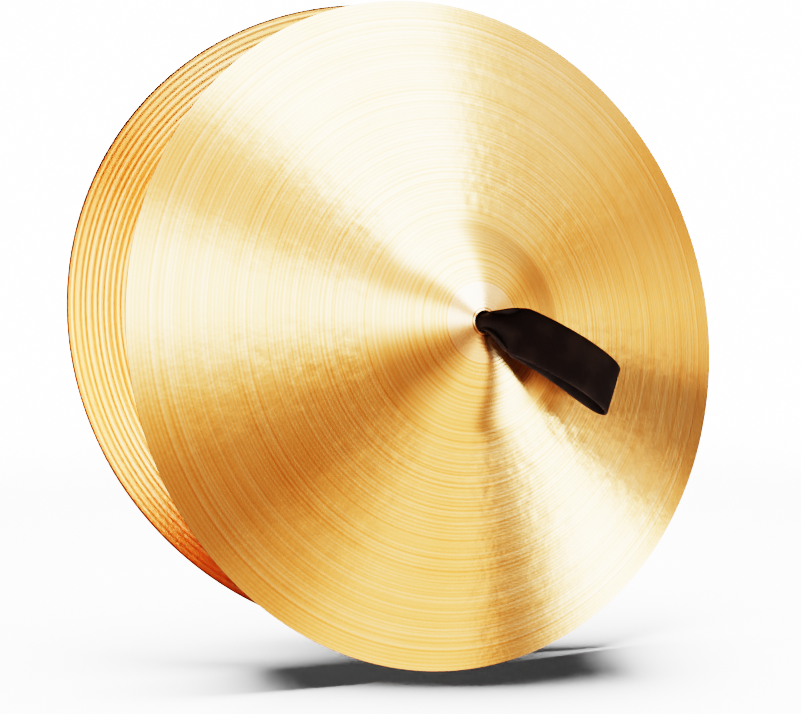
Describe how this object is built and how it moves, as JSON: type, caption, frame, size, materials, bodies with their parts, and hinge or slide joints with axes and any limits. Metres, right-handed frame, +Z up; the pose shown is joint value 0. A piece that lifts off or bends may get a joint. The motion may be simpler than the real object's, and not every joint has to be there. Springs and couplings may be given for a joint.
{
  "type": "hand cymbals",
  "caption": "Facing cast-bronze hand cymbals with domed bells, each held by a folded leather strap knotted through its centre hole.",
  "frame": {"origin": "centre of the hole in the front cymbal's bell, in the plane of the flat ring around it, where the player's hand closes on the strap", "axes": "+Z up; +X to the right as seen from the front; the front cymbal's bell points towards -Y and leans back, so its axis rises 10 degrees from -Y; the rear cymbal is behind it, towards +Y, and opens 15.4 degrees from it"},
  "size_m": [0.4572, 0.2264, 0.4558],
  "materials": {
    "bronze": "polished",
    "leather": "satin"
  },
  "bodies": {
    "front_cymbal": {"front_plate": "bronze"},
    "front_knot": {"front_strap_neck": "leather", "front_strap_tail_1": "leather", "front_strap_tail_2": "leather", "front_strap_tail_3": "leather", "front_strap_tail_4": "leather"},
    "front_grip": {"front_strap_loop": "leather"},
    "rear_cymbal": {"rear_plate": "bronze"},
    "rear_knot": {"rear_strap_neck": "leather", "rear_strap_tail_1": "leather", "rear_strap_tail_2": "leather", "rear_strap_tail_3": "leather", "rear_strap_tail_4": "leather"},
    "rear_grip": {"rear_strap_loop": "leather"}
  },
  "joints": [
    {"name": "pair_swing", "type": "hinge", "parent": "front_cymbal", "child": "rear_cymbal", "pos_m": [0.19695, 0.03796, -0.07555], "axis": [-0.4027, -0.1589, -0.9014], "range_deg": [-11, 60]},
    {"name": "front_strap_spin", "type": "hinge", "parent": "front_cymbal", "child": "front_knot", "pos_m": [0, 0, 0], "axis": [0, -0.9848, 0.1736], "continuous": true},
    {"name": "front_strap_swing", "type": "hinge", "parent": "front_knot", "child": "front_grip", "pos_m": [0, -0.0064, 0.00113], "axis": [0.4384, 0.1561, 0.8851], "range_deg": [-90, 5]},
    {"name": "rear_strap_spin", "type": "hinge", "parent": "rear_cymbal", "child": "rear_knot", "pos_m": [0.00799, 0.16203, -0.013], "axis": [0.2431, 0.9309, -0.2727], "continuous": true},
    {"name": "rear_strap_swing", "type": "hinge", "parent": "rear_knot", "child": "rear_grip", "pos_m": [0.00957, 0.16808, -0.01477], "axis": [-0.5867, 0.365, 0.7229], "range_deg": [-90, 5]}
  ]
}
